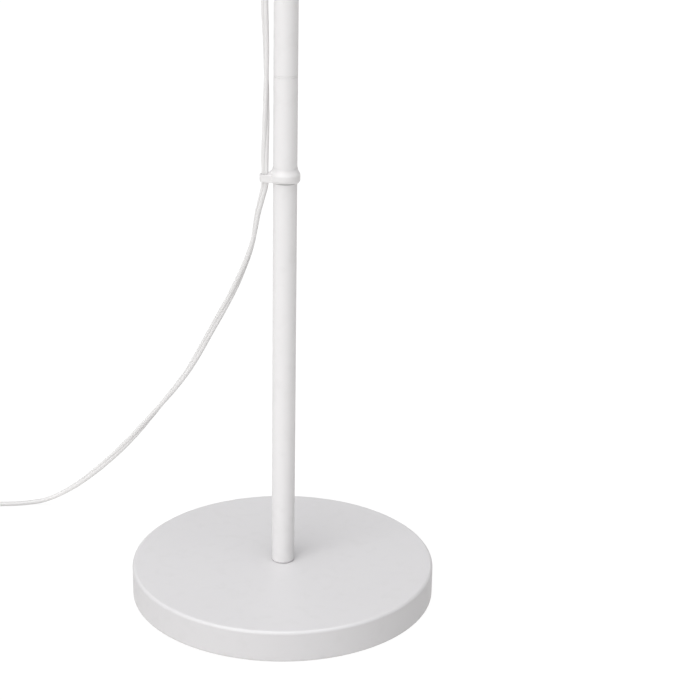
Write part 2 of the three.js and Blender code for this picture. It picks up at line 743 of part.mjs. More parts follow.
const sleeveIn = add('switch_sleeve_in', reliefSleeve(), whitePlastic);
sleeveIn.position.set(SWITCH_X, switchIn, SWITCH_CORD_HEIGHT);
sleeveIn.rotation.x = Math.PI / 2;
const sleeveOut = add('switch_sleeve_out', reliefSleeve(), whitePlastic);
sleeveOut.position.set(SWITCH_X, switchOut, SWITCH_CORD_HEIGHT);
sleeveOut.rotation.x = -Math.PI / 2;

// The rest of the cord: a short link, a neat coil with its tie, and the tail to the plug
const coilX = SWITCH_X + COIL_RADIUS;
add('cord_link', swept(smoothPath([
  [SWITCH_X, switchOut, SWITCH_CORD_HEIGHT],
  [SWITCH_X, switchOut - 14, SWITCH_CORD_HEIGHT],
  [SWITCH_X, switchOut - SLEEVE_LENGTH - 4, SWITCH_CORD_HEIGHT],
  [SWITCH_X, 2, 5.9],
  [SWITCH_X, -9, 4],
  [SWITCH_X, -22, floorLevel],
]), cordSection, 10), whiteFlex);

add('cord_coil', disc(COIL_RADIUS - COIL_BAND, COIL_RADIUS + COIL_BAND, 0, COIL_HEIGHT, 36)
  .translate(coilX, COIL_Y, 0), whiteFlex);

const TIE_WIDTH = 5;
const TIE_WALL = 0.8;
const tieSide = 2 * (COIL_BAND + GAP);
add('cord_tie', cut(
  new THREE.BoxGeometry(tieSide + 2 * TIE_WALL, TIE_WIDTH, COIL_HEIGHT + TIE_WALL + GAP)
    .translate(0, 0, (COIL_HEIGHT + TIE_WALL + GAP) / 2),
  new THREE.BoxGeometry(tieSide, 2 * TIE_WIDTH, 2 * (COIL_HEIGHT + GAP)),
).translate(coilX + COIL_RADIUS, COIL_Y, 0), blackPlastic);

add('cord_tail', swept(smoothPath([
  [SWITCH_X, -88, floorLevel],
  [SWITCH_X, -97, floorLevel + 0.6],
  [SWITCH_X, -108, 5.9],
  [SWITCH_X, -118, PLUG_CORD_HEIGHT],
  [SWITCH_X, PLUG_Y + GAP, PLUG_CORD_HEIGHT],
]), cordSection, 8), whiteFlex);

// Plug: a flat two-pin plug lying on its side
const PLUG_LENGTH = 35;
const PLUG_PIN_SPACING = 18.6;
const PIN_LENGTH = 19;
const plugOutline = [
  [-4.6, 0],
  [-17, -PLUG_LENGTH + 9],
  [-17, -PLUG_LENGTH],
  [17, -PLUG_LENGTH],
  [17, -PLUG_LENGTH + 9],
  [4.6, 0],
];
add('plug_body', plate(plugOutline, 0.2, 13.8).translate(SWITCH_X, PLUG_Y, 0), whitePlastic);
const plugSleeve = add('plug_sleeve', reliefSleeve(), whitePlastic);
plugSleeve.position.set(SWITCH_X, PLUG_Y + GAP, PLUG_CORD_HEIGHT);
plugSleeve.rotation.x = Math.PI / 2;
const pinStart = PLUG_Y - PLUG_LENGTH - GAP;
for (const [name, side] of [['plug_pin_left', -1], ['plug_pin_right', 1]]) {
  const pinX = SWITCH_X + (side * PLUG_PIN_SPACING) / 2;
  add(name, barY(2, pinStart - PIN_LENGTH, pinStart, pinX, PLUG_CORD_HEIGHT, 12), brass);
}

export default lamp;
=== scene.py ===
import math

import bmesh
import bpy
from mathutils import Matrix, Vector


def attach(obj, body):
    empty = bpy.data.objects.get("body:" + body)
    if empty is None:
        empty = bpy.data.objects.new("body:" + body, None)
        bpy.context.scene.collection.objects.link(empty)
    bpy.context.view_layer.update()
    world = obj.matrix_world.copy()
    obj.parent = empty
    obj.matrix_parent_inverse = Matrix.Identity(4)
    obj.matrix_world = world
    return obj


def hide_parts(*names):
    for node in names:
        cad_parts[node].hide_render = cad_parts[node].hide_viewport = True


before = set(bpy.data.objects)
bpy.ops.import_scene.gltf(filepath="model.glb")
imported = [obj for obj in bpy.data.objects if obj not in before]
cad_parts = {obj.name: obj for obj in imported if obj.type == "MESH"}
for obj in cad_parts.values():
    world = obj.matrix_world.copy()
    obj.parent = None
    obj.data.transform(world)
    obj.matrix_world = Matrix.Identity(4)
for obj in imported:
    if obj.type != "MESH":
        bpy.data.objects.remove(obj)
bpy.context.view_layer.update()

scene = bpy.context.scene
scene.view_settings.view_transform = "Standard"

# ---- Camera -------------------------------------------------------------------------------
# It stands 1.7 m in front of the base at elbow height and looks down on it, with a long lens,
# so that only the base, the lower pole and the first stretch of the cord are in view.
camera_data = bpy.data.cameras.new("camera")
camera_data.sensor_width = 36
camera_data.lens = 98.255
camera_data.clip_end = 60
camera = bpy.data.objects.new("camera", camera_data)
scene.collection.objects.link(camera)
scene.camera = camera

yaw, pitch, roll = (math.radians(degrees) for degrees in (2.1102, 20.8211, 1.0853))
ahead = Vector((math.sin(yaw) * math.cos(pitch), math.cos(yaw) * math.cos(pitch), -math.sin(pitch)))
level = Vector((math.cos(yaw), -math.sin(yaw), 0))
upward = level.cross(ahead)
across = math.cos(roll) * level + math.sin(roll) * upward
over = math.cos(roll) * upward - math.sin(roll) * level
turned_to = Matrix((across, over, -ahead)).transposed().to_4x4()
camera.matrix_world = Matrix.Translation((0, -1.71768, 0.91006)) @ turned_to


# ---- Floor and light ----------------------------------------------------------------------
# A seamless floor that glows white, as a packshot table does, one large soft light to the front
# left and a wide one overhead. The floor and the room around look brighter to the camera than
# the light they give, so the lamp keeps its shading against plain white.
class Level:
    """A number or colour that flows through a finish: grain, dust and wear are sums of them."""

    def __init__(self, finish, socket):
        self.finish = finish
        self.socket = socket

    def work(self, operation, *values):
        return self.finish.node("ShaderNodeMath", {"operation": operation}, values)

    def __add__(self, other):
        return self.work("ADD", self, other)

    def __radd__(self, other):
        return self.work("ADD", other, self)

    def __sub__(self, other):
        return self.work("SUBTRACT", self, other)

    def __rsub__(self, other):
        return self.work("SUBTRACT", other, self)

    def __mul__(self, other):
        return self.work("MULTIPLY", self, other)

    def __rmul__(self, other):
        return self.work("MULTIPLY", other, self)

    def __abs__(self):
        return self.work("ABSOLUTE", self)

    def above(self, low, high):
        """0 below low, 1 above high, and a smooth rise between them."""
        settings = {"interpolation_type": "SMOOTHSTEP"}
        return self.finish.node("ShaderNodeMapRange", settings, {0: self, 1: low, 2: high})


class Finish:
    """One node material, and the slot of the CAD part that it fills."""

    def __init__(self, name, slot, **fixed):
        self.slot = slot
        self.material = bpy.data.materials.new(name)
        self.material.use_nodes = True
        self.tree = self.material.node_tree
        self.shader = next(n for n in self.tree.nodes if n.type == "BSDF_PRINCIPLED")
        for socket, value in fixed.items():
            self.shader.inputs[socket.replace("_", " ")].default_value = value
        self.place = self.node("ShaderNodeTexCoord", output="Object")

    def node(self, kind, settings=None, values=(), output=0):
        made = self.tree.nodes.new(kind)
        for key, value in (settings or {}).items():
            setattr(made, key, value)
        pairs = values.items() if isinstance(values, dict) else enumerate(values)
        for key, value in pairs:
            if isinstance(value, Level):
                self.tree.links.new(value.socket, made.inputs[key])
            else:
                made.inputs[key].default_value = value
        return Level(self, made.outputs[output])

    def noise(self, size, detail=2, at=None):
        """Cloudy grain whose patches are about size millimetres across, from 0 to 1."""
        values = {"Vector": at or self.place, "Scale": 1000 / size, "Detail": detail}
        return self.node("ShaderNodeTexNoise", values=values)

    def stretched(self, x, y, z, source=None):
        """The piece's own coordinates, made longer or shorter along each axis."""
        return self.node("ShaderNodeMapping", values={"Vector": source or self.place, "Scale": (x, y, z)})

    def part(self, axis, source=None):
        return self.node("ShaderNodeSeparateXYZ", values=[source or self.place], output=axis)

    def blend(self, share, first, second):
        colours = [(*colour, 1) if isinstance(colour, tuple) else colour for colour in (first, second)]
        values = {0: share, 6: colours[0], 7: colours[1]}
        return self.node("ShaderNodeMix", {"data_type": "RGBA"}, values, output=2)

    def feed(self, **levels):
        for socket, level in levels.items():
            self.tree.links.new(level.socket, self.shader.inputs[socket.replace("_", " ")])

    def relief(self, height, depth, strength=1.0):
        """Bump whose full height is depth millimetres."""
        values = {"Height": height, "Distance": depth / 1000, "Strength": strength}
        self.feed(Normal=self.node("ShaderNodeBump", values=values))


floor_finish = Finish("studio_floor", None, Roughness=0.9, Specular_IOR_Level=0.2)
floor_cloud = floor_finish.noise(900)
seen_directly = floor_finish.node("ShaderNodeLightPath")
floor_finish.feed(
    Base_Color=floor_finish.blend(floor_cloud, (0.10, 0.10, 0.10), (0.11, 0.11, 0.11)),
    Emission_Color=floor_finish.blend(seen_directly, (0.86, 0.85, 0.84), (1, 1, 1)),
)
floor_finish.shader.inputs["Emission Strength"].default_value = 0.915
sheet = bmesh.new()
bmesh.ops.create_grid(sheet, x_segments=8, y_segments=8, size=30)
floor_mesh = bpy.data.meshes.new("studio_floor")
sheet.to_mesh(floor_mesh)
sheet.free()
floor_mesh.materials.append(floor_finish.material)
floor = bpy.data.objects.new("studio_floor", floor_mesh)
scene.collection.objects.link(floor)

world = bpy.data.worlds.new("studio")
world.use_nodes = True
room = world.node_tree
room_light = room.nodes["Background"]
room_light.inputs["Color"].default_value = (0.985, 0.99, 1, 1)
room_light.inputs["Strength"].default_value = 0.225
backdrop = room.nodes.new("ShaderNodeBackground")
backdrop.inputs["Color"].default_value = (1, 1, 1, 1)
ray = room.nodes.new("ShaderNodeLightPath")
either = room.nodes.new("ShaderNodeMixShader")
room.links.new(ray.outputs["Is Camera Ray"], either.inputs[0])
room.links.new(room_light.outputs[0], either.inputs[1])
room.links.new(backdrop.outputs[0], either.inputs[2])
room.links.new(either.outputs[0], room.nodes["World Output"].inputs["Surface"])
scene.world = world


def soft_light(name, towards, strength, spread):
    """Even light from far away, from a patch of sky spread degrees wide."""
    lamp_data = bpy.data.lights.new(name, "SUN")
    lamp_data.angle = math.radians(spread)
    lamp_data.energy = strength
    light = bpy.data.objects.new(name, lamp_data)
    light.rotation_mode = "QUATERNION"
    light.rotation_quaternion = Vector(towards).to_track_quat("Z", "Y")
    scene.collection.objects.link(light)


soft_light("key", (-0.5, -0.72, 0.5), 1.55, 56)
soft_light("overhead", (0.0, -0.12, 1), 2.24, 50)


# ---- Cord: one flat white twin flex -------------------------------------------------------
# Two copper cores side by side in one PVC sheath, 6.9 mm wide with a groove down each face.
# It leaves the sleeve below the outlet, hangs through the clips, swings out behind to the
# floor, runs through the foot switch and ends, after a tied coil, in the plug.
flex_finish = Finish("white_flex_sheath", "white_flex", Roughness=0.46, Coat_Roughness=0.4)
flex_finish.shader.inputs["Subsurface Weight"].default_value = 0.04
flex_finish.shader.inputs["Subsurface Radius"].default_value = (0.002, 0.002, 0.0018)
sheath = flex_finish.node("ShaderNodeUVMap", {"uv_map": "sheath"})
round_it = flex_finish.part(0, sheath)
from_groove = abs(flex_finish.node("ShaderNodeMath", {"operation": "FRACT"}, [round_it * 2 + 0.5]) - 0.5)
# Painted shade: the sheath is made darker along the groove between the cores, where shade falls in the
# crease.
painted_groove_shade = 1 - from_groove.above(0.02, 0.09)
handled = flex_finish.noise(26, 3).above(0.45, 0.75)
die_lines = flex_finish.noise(1000, 2, flex_finish.stretched(34, 2.5, 1, sheath))
clean = flex_finish.blend(handled * 0.5, (0.76, 0.752, 0.75), (0.73, 0.72, 0.718))
# Painted shade: the sheath is made darker within 16 mm of the floor, darkest below 3 mm.
off_floor = flex_finish.part(2) * 1000
painted_low_shade = 1 - off_floor.above(3, 16)
clean = flex_finish.blend(painted_low_shade * 0.5, clean, (0.52, 0.515, 0.515))
flex_finish.feed(
    Base_Color=flex_finish.blend(painted_groove_shade * 0.4, clean, (0.50, 0.49, 0.485)),
    Roughness=0.42 + handled * 0.1 + die_lines * 0.06,
)
flex_finish.relief(die_lines * 0.7 + flex_finish.noise(0.9, 3) * 0.3, 0.03, 0.6)

CORD_WIDTH = 6.9
CORD_THICKNESS = 4.5
OUTLET_EXIT = (-18.8, 0, 1405.7)
LAYER = 4.4
ON_FLOOR = 2.25


def smooth_line(marks, step):
    """Points about step apart on one smooth line through the marks."""
    marks = [Vector(mark) for mark in marks]
    ends = [2 * marks[0] - marks[1]] + marks + [2 * marks[-1] - marks[-2]]
    line = [marks[0]]
    for a, b, c, d in zip(ends, ends[1:], ends[2:], ends[3:]):
        before, here, after = (math.sqrt((q - p).length) for p, q in ((a, b), (b, c), (c, d)))
        leave = (b - a) / before - (c - a) / (before + here) + (c - b) / here
        arrive = (c - b) / here - (d - b) / (here + after) + (d - c) / after
        count = max(1, round((c - b).length / step))
        for i in range(1, count + 1):
            t = i / count
            line.append(
                (2 * t**3 - 3 * t**2 + 1) * b
                + (t**3 - 2 * t**2 + t) * here * leave
                + (3 * t**2 - 2 * t**3) * c
                + (t**3 - t**2) * here * arrive
            )
    return line


def between(value, keys, smooth=True):
    """The value at a position, from a list of (position, value) keys."""
    for (start, low), (end, high) in zip(keys, keys[1:]):
        if value <= end:
            t = min(1, max(0, (value - start) / (end - start)))
            return low + (high - low) * (t * t * (3 - 2 * t) if smooth else t)
    return keys[-1][1]


hanging = [
    (-18.8, 0, 1429.7), OUTLET_EXIT, (-18.8, 0, 1392), (-18.9, 0.1, 1345), (-18.8, 0, 1305),
    (-18.7, -0.1, 1260), (-18.8, 0, 1203), (-17.9, 0.5, 1150), (-19.6, 0.3, 1060), (-18.8, 0, 1006),
    (-18.7, 0.1, 960), (-18.8, 0, 921), (-18.9, -0.1, 870), (-18.8, 0, 815), (-18.1, -0.5, 755),
    (-19.3, 0.2, 690), (-18.7, -0.2, 630), (-19.3, 0, 590), (-17.9, 0.2, 547), (-18.0, 0, 482),
    (-18.9, 0, 446), (-18.8, 0, 435), (-18.8, 0, 421),
]
swinging = [
    (-21.2, 0.7, 410), (-25.4, 4, 392), (-31.4, 11, 358), (-46.6, 24, 314), (-69.6, 44, 263.4),
    (-97.6, 68, 205.4), (-130.4, 96, 153.4), (-164.4, 124, 103.6), (-199, 152, 60.4), (-231.6, 176, 26.6),
    (-261.6, 190, 6.2),
]
lying = [
    (-290, 188.6, 2.5), (-314, 188, ON_FLOOR), (-336, 189.2, ON_FLOOR), (-350, 189.6, 2.4),
    (-364.2, 186, 3.4), (-374.3, 175.8, 5.3), (-378, 162, 6.9), (-378, 150, 7), (-378, 140, 7),
    (-378, 127.3, 7), (-378, 106, 7),
    (-378, 64, 7), (-378, 42.7, 7), (-378, 28.7, 7), (-378, 13, 6.7), (-378.4, 2, 5.3),
    (-380.3, -11, 3.3), (-383.4, -25, 2.4), (-384.8, -40, ON_FLOOR),
]
COIL_CENTRE = (-344, -55)
OUTER, MIDDLE, INNER = 40.9, 34, 27.1
coil_radius = [
    (0, OUTER), (230, OUTER), (360, MIDDLE), (590, MIDDLE), (720, INNER), (1150, INNER),
    (1280, MIDDLE), (1510, MIDDLE), (1640, OUTER), (2020, OUTER), (2150, MIDDLE), (2520, MIDDLE),
]
coil_height = [
    (0, ON_FLOOR), (950, ON_FLOOR), (1065, ON_FLOOR + LAYER), (1885, ON_FLOOR + LAYER),
    (1995, ON_FLOOR + 2 * LAYER), (2520, ON_FLOOR + 2 * LAYER),
]
coiled = []
for wound in range(0, 2521, 15):
    bearing = math.radians(180 + wound)
    reach = between(wound, coil_radius)
    over_strap = between(abs(wound % 360 - 180), [(0, 0.8), (8, 0.8), (40, 0), (180, 0)])
    coiled.append((
        COIL_CENTRE[0] + reach * math.cos(bearing),
        COIL_CENTRE[1] + reach * math.sin(bearing),
        between(wound, coil_height) + over_strap,
    ))
tail = [
    (-378, -70, 11.1), (-378, -88, 11), (-378, -101, 9.4), (-378, -113, 7.5), (-378, -124, 7),
    (-378, -136, 7), (-378, -150, 7),
]
cord_line = smooth_line(hanging + swinging + lying + coiled + tail, 2.6)

cord_run = [0]
for a, b in zip(cord_line, cord_line[1:]):
    cord_run.append(cord_run[-1] + (b - a).length)

# The lay of the flex: degrees that its flat side has turned, by millimetres from the outlet.
flex_twist = [
    (0, -120), (130, -100), (400, -240), (600, -150), (720, -30), (820, 60), (906, 142), (975, 232),
    (1063, 324), (1158, 420), (1302, 518), (1390, 613), (1530, 720), (9000, 720),
]


def flex_section():
    """The flex cut across: two round cores side by side and the groove between them."""
    core = CORD_THICKNESS / 2
    offset = CORD_WIDTH / 2 - core
    half = [(0.0, core - 0.34), (0.3, core - 0.22)]
    half += [
        (offset + core * math.sin(math.radians(a)), core * math.cos(math.radians(a)))
        for a in (-14, 18, 50, 90)
    ]
    quarter = half
    lower = [(x, -y) for x, y in reversed(quarter[:-1])]
    right = quarter + lower
    left = [(-x, -y) for x, y in right[1:-1]]
    return right + left


section = flex_section()
girth = [0]
for (x0, y0), (x1, y1) in zip(section, section[1:] + section[:1]):
    girth.append(girth[-1] + math.hypot(x1 - x0, y1 - y0))

shape = bmesh.new()
sheath_layer = shape.loops.layers.uv.new("sheath")
flat_up = Vector((0, 0, 1))
frames = []
for index in reversed(range(len(cord_line))):
    before = cord_line[max(0, index - 1)]
    after = cord_line[min(len(cord_line) - 1, index + 1)]
    heading = (after - before).normalized()
    flat_up = (flat_up - flat_up.dot(heading) * heading).normalized()
    frames.append((heading, flat_up.copy()))
frames.reverse()
rings = []
for point, run, (heading, flat) in zip(cord_line, cord_run, frames):
    turn = Matrix.Rotation(math.radians(between(run, flex_twist, smooth=False)), 3, heading)
    thin = turn @ flat
    wide = heading.cross(thin)
    rings.append([shape.verts.new(point + wide * x + thin * y) for x, y in section])
count = len(section)
for number, (ring, following) in enumerate(zip(rings, rings[1:])):
    for i in range(count):
        j = (i + 1) % count
        face = shape.faces.new((ring[i], ring[j], following[j], following[i]))
        ways = (girth[i], girth[i + 1], girth[i + 1], girth[i])
        runs = (number, number, number + 1, number + 1)
        for loop, way, at in zip(face.loops, ways, runs):
            loop[sheath_layer].uv = (way / girth[-1], cord_run[at] / 100)
shape.faces.new(rings[0])
shape.faces.new(rings[-1])
bmesh.ops.recalc_face_normals(shape, faces=shape.faces)


# Every piece is drawn in millimetres where it belongs, and becomes an object in metres that
# rides on its body and stands for the solids it replaces.
def finished(name, shape, finish, body, *nodes, sharp=38, even=True):
    bmesh.ops.scale(shape, vec=(0.001,) * 3, verts=shape.verts)
    for edge in shape.edges:
        if len(edge.link_faces) == 2 and edge.calc_face_angle() > math.radians(sharp):
            edge.smooth = False
    mesh = bpy.data.meshes.new(name)
    shape.to_mesh(mesh)
    shape.free()
    for face in mesh.polygons:
        face.use_smooth = True
    mesh.materials.append(finish.material)
    piece = bpy.data.objects.new(name, mesh)
    scene.collection.objects.link(piece)
    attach(piece, body)
    if nodes:
        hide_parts(*nodes)
    if even:
        normals = piece.modifiers.new("even_shading", "WEIGHTED_NORMAL")
        normals.keep_sharp = True
    return piece


CORD_SOLIDS = ["cord_upright", "cord_drop", "cord_link", "cord_coil", "cord_tail"]
flex = finished("twin_flex", shape, flex_finish, "stand", *CORD_SOLIDS, sharp=80, even=False)


# ---- Coil tie: a woven black strap -----------------------------------------------------------
# A hook-and-loop strap 5 mm wide that holds the turns of the coil together. It goes round them
# once and its end is pressed down on top of itself.
strap_finish = Finish("black_strap", "black_plastic", Roughness=0.85, Specular_IOR_Level=0.3)
rib = strap_finish.node("ShaderNodeTexWave", {"bands_direction": "Y"}, {"Scale": 520, "Distortion": 0.4})
fuzz = strap_finish.noise(0.5, 4)
woven = rib * 0.6 + fuzz * 0.4
strap_finish.feed(Base_Color=strap_finish.blend(woven, (0.012, 0.012, 0.013), (0.05, 0.05, 0.052)))
strap_finish.relief(rib * 0.6 + fuzz * 0.4, 0.15)


def block(low, high):
    shape = bmesh.new()
    bmesh.ops.create_cube(shape, size=1)
    low, high = Vector(low), Vector(high)
    place = Matrix.Translation((low + high) / 2) @ Matrix.Diagonal((*(high - low), 1))
    bmesh.ops.transform(shape, matrix=place, verts=shape.verts)
    return shape


strap = block((-321, -57.5, 0.9), (-298.9, -52.5, 14.2))
bmesh.ops.delete(strap, geom=[f for f in strap.faces if abs(f.normal.y) > 0.9], context="FACES_ONLY")
corners = [e for e in strap.edges if abs((e.verts[0].co - e.verts[1].co).normalized().y) > 0.9]
bmesh.ops.bevel(
    strap, geom=corners, offset=3.6, segments=6, profile=0.5, affect="EDGES", material=-1,
    clamp_overlap=True,
)
bmesh.ops.recalc_face_normals(strap, faces=strap.faces)
bmesh.ops.solidify(strap, geom=strap.faces[:], thickness=-0.8)
bmesh.ops.recalc_face_normals(strap, faces=strap.faces)
tie = finished("coil_strap", strap, strap_finish, "stand", "cord_tie")


# ---- Foot switch: two moulded shells, a button and two cord sleeves -------------------------
# Satin white ABS mouldings that snap together round the flex. The sleeves are softer and are
# ribbed so that the flex bends gently where it leaves the shells.
def plastic(name, light, dark, gloss):
    """Moulded white plastic: fine spark-eroded grain, faint flow clouds, handled and dusty spots."""
    made = Finish(name, "white_plastic", Roughness=gloss, Coat_Weight=0.06, Coat_Roughness=0.3)
    flow = made.noise(38, 2)
    grain = made.noise(0.7, 3)
    handled = made.noise(9, 3).above(0.52, 0.8)
    dust = made.noise(1.6, 1).above(0.72, 0.8)
    tone = made.blend(flow, light, dark)
    made.feed(
        Base_Color=made.blend(handled * 0.12 + dust * 0.08, tone, (0.55, 0.53, 0.5)),
        Roughness=gloss - 0.04 + handled * 0.1 + grain * 0.06,
    )
    made.relief(grain, 0.02, 0.5)
    return made


plastic_finish = plastic("white_moulding", (0.765, 0.754, 0.756), (0.75, 0.74, 0.74), 0.42)
sleeve_finish = plastic("white_soft_moulding", (0.76, 0.755, 0.742), (0.735, 0.73, 0.715), 0.5)


def turned(outline, steps=96, closed=True):
    """A shape spun about the upright axis from corners (radius, height, rounding)."""
    shape = bmesh.new()
    corners = [shape.verts.new((corner[0], 0, corner[1])) for corner in outline]
    pairs = list(zip(corners, corners[1:])) + ([(corners[-1], corners[0])] if closed else [])
    lines = [shape.edges.new(pair) for pair in pairs]
    bmesh.ops.spin(
        shape, geom=corners + lines, cent=(0, 0, 0), axis=(0, 0, 1), angle=2 * math.pi,
        steps=steps, use_merge=True,
    )
    bmesh.ops.remove_doubles(shape, verts=shape.verts, dist=1e-4)
    bmesh.ops.recalc_face_normals(shape, faces=shape.faces)
    for rounding in sorted({corner[2] for corner in outline if len(corner) > 2 and corner[2]}):
        spots = [corner[:2] for corner in outline if len(corner) > 2 and corner[2] == rounding]
        rims = [
            e for e in shape.edges
            if any(
                all(abs(v.co.xy.length - r) < 1e-3 and abs(v.co.z - z) < 1e-3 for v in e.verts)
                for r, z in spots
            )
        ]
        bmesh.ops.bevel(
            shape, geom=rims, offset=rounding, segments=2 if rounding < 0.45 else 4 if rounding < 2 else 7,
            profile=0.5, affect="EDGES", material=-1, clamp_overlap=True,
        )
    return shape


def moved(shape, place=(0, 0, 0), axis="X", degrees=0):
    matrix = Matrix.Translation(place) @ Matrix.Rotation(math.radians(degrees), 4, axis)
    bmesh.ops.transform(shape, matrix=matrix, verts=shape.verts)
    return shape


def bar(radius, start, end, steps=48, end_radius=None):
    """A round bar between two points."""
    shape = bmesh.new()
    start, end = Vector(start), Vector(end)
    bmesh.ops.create_cone(
        shape, cap_ends=True, segments=steps, radius1=radius,
        radius2=radius if end_radius is None else end_radius, depth=(end - start).length,
    )
    turn = (end - start).to_track_quat("Z", "Y").to_matrix().to_4x4()
    bmesh.ops.transform(shape, matrix=Matrix.Translation((start + end) / 2) @ turn, verts=shape.verts)
    return shape


def fused(shape, other, operation="UNION"):
    """Joins the other shape to this one, or cuts it out of it."""
    things = []
    for source in (shape, other):
        mesh = bpy.data.meshes.new("blank")
        source.to_mesh(mesh)
        source.free()
        things.append(bpy.data.objects.new("blank", mesh))
        scene.collection.objects.link(things[-1])
    change = things[0].modifiers.new("change", "BOOLEAN")
    change.object = things[1]
    change.operation = operation
    change.solver = "EXACT"
    bpy.context.view_layer.update()
    done = things[0].evaluated_get(bpy.context.evaluated_depsgraph_get())
    result = bmesh.new()
    result.from_mesh(done.to_mesh())
    done.to_mesh_clear()
    for thing in things:
        mesh = thing.data
        bpy.data.objects.remove(thing)
        bpy.data.meshes.remove(mesh)
    bmesh.ops.remove_doubles(result, verts=result.verts, dist=1e-3)
    bmesh.ops.dissolve_degenerate(result, dist=1e-3, edges=result.edges)
    return result


def cut(shape, other):
    return fused(shape, other, "DIFFERENCE")


def eased(piece, width, segments=3, limit=32):
    """Rounds every edge of a finished piece by width millimetres."""
    ease = piece.modifiers.new("eased_edges", "BEVEL")
    ease.width = width / 1000
    ease.segments = segments
    ease.limit_method = "ANGLE"
    ease.angle_limit = math.radians(limit)
    ease.miter_outer = "MITER_ARC"
    piece.modifiers.move(len(piece.modifiers) - 1, 0)
    return piece


def round_ended(length, width, low, high, steps=64):
    """A bar with round ends that lies along Y."""
    shape = bmesh.new()
    bmesh.ops.create_circle(shape, cap_ends=True, radius=width / 2, segments=steps)
    half_step = Matrix.Rotation(math.pi / steps, 3, "Z")
    bmesh.ops.rotate(shape, cent=(0, 0, 0), matrix=half_step, verts=shape.verts)
    for side in (-1, 1):
        half = [v for v in shape.verts if v.co.y * side > 0]
        bmesh.ops.translate(shape, vec=(0, side * (length - width) / 2, low), verts=half)
    lifted = bmesh.ops.extrude_face_region(shape, geom=shape.faces[:])["geom"]
    raised = [g for g in lifted if isinstance(g, bmesh.types.BMVert)]
    bmesh.ops.translate(shape, vec=(0, 0, high - low), verts=raised)
    bmesh.ops.recalc_face_normals(shape, faces=shape.faces)
    return shape


def rim_rounded(shape, height, rounding, segments=5):
    rim = [
        e for e in shape.edges
        if all(abs(v.co.z - height) < 1e-3 for v in e.verts)
        and len(e.link_faces) == 2 and e.calc_face_angle() > 0.6
    ]
    bmesh.ops.bevel(
        shape, geom=rim, offset=rounding, segments=segments, profile=0.5, affect="EDGES", material=-1,
        clamp_overlap=True,
    )
    return shape


SWITCH = (-378, 85, 0)
lower_half = rim_rounded(round_ended(84, 30, 0.1, 6.85), 0.1, 1.2)
lower_half = rim_rounded(lower_half, 6.85, 0.35, 2)
finished("switch_bottom", moved(lower_half, SWITCH), plastic_finish, "stand", "switch_lower_shell")

upper_half = rim_rounded(round_ended(84, 30, 7.15, 20), 20, 3.4, 6)
upper_half = rim_rounded(upper_half, 7.15, 0.35, 2)
upper_half = cut(upper_half, bar(9.4, (0, 0, 11.5), (0, 0, 30), 64))
for side in (-1, 1):
    for step in range(3):
        y = side * (15 + 4 * step)
        upper_half = fused(upper_half, bar(0.9, (-9 + step, y, 19.75), (9 - step, y, 19.75), 16))
upper_half = moved(upper_half, SWITCH)
switch_top = finished("switch_top", upper_half, plastic_finish, "stand", "switch_upper_shell")

button_outline = [
    (0, 12.5), (11, 12.5, 0.2), (11, 14, 0.2), (9, 14), (9, 23.5, 1.3), (6.9, 23.9, 0.1), (6.6, 23.45),
    (6.2, 23.45), (5.9, 24.05, 0.1), (4.1, 24.2, 0.1), (3.8, 23.7), (3.4, 23.7),
    (3.1, 24.25, 0.1), (0, 24.4),
]
button = moved(turned(button_outline, 64, closed=False), SWITCH)
button = finished("switch_cap", button, plastic_finish, "button", "switch_button")


def relief_sleeve():
    """The ribbed taper of a strain relief, from its wide end at 0 down to its narrow end."""
    outline = [(1.6, 0), (5.5, 0, 0.35)]
    for groove in range(6):
        top = -2.6 - 3.7 * groove
        wide = 5.5 + 1.1 * top / 26
        outline += [
            (wide, top, 0.2), (wide - 0.75, top - 0.35), (wide - 0.75, top - 1.4),
            (wide - 0.08, top - 1.75, 0.2),
        ]
    return turned(outline + [(4.4, -26, 0.6), (1.6, -26)], 48)


sleeve_in = moved(relief_sleeve(), (-378, 127.3, 7), "X", 90)
sleeve_in = finished("sleeve_into_switch", sleeve_in, sleeve_finish, "stand", "switch_sleeve_in")
sleeve_out = moved(relief_sleeve(), (-378, 42.7, 7), "X", -90)
sleeve_out = finished("sleeve_out_of_switch", sleeve_out, sleeve_finish, "stand", "switch_sleeve_out")


# ---- Plug: a flat moulded two-pin plug -------------------------------------------------------
# The body is moulded in one piece round the crimped pins, with finger grooves across it, and
# lies on its side. The pins are turned brass with rounded tips.
plug = bmesh.new()
sides = [(-4.6, -146), (-17, -172), (-17, -181), (17, -181), (17, -172), (4.6, -146)]
plug.faces.new([plug.verts.new((x, y, 0.2)) for x, y in sides])
lifted = bmesh.ops.extrude_face_region(plug, geom=plug.faces[:])["geom"]
bmesh.ops.translate(plug, vec=(0, 0, 13.6), verts=[g for g in lifted if isinstance(g, bmesh.types.BMVert)])
bmesh.ops.recalc_face_normals(plug, faces=plug.faces)
upright_edges = [e for e in plug.edges if abs(e.verts[0].co.z - e.verts[1].co.z) > 5]
bmesh.ops.bevel(
    plug, geom=upright_edges, offset=2.6, segments=5, profile=0.5, affect="EDGES", material=-1,
    clamp_overlap=True,
)
plug = rim_rounded(rim_rounded(plug, 13.8, 1.8), 0.2, 1.8)
for groove in range(4):
    y = -156 - 4.2 * groove
    for z in (15.0, -1.0):
        plug = cut(plug, bar(1.9, (-7 - groove * 1.6, y, z), (7 + groove * 1.6, y, z), 20))
plug = finished("plug_moulding", moved(plug, (-378, 0, 0)), plastic_finish, "stand", "plug_body")
plug_neck = moved(relief_sleeve(), (-378, -145.7, 7), "X", 90)
plug_neck = finished("sleeve_into_plug", plug_neck, sleeve_finish, "stand", "plug_sleeve")


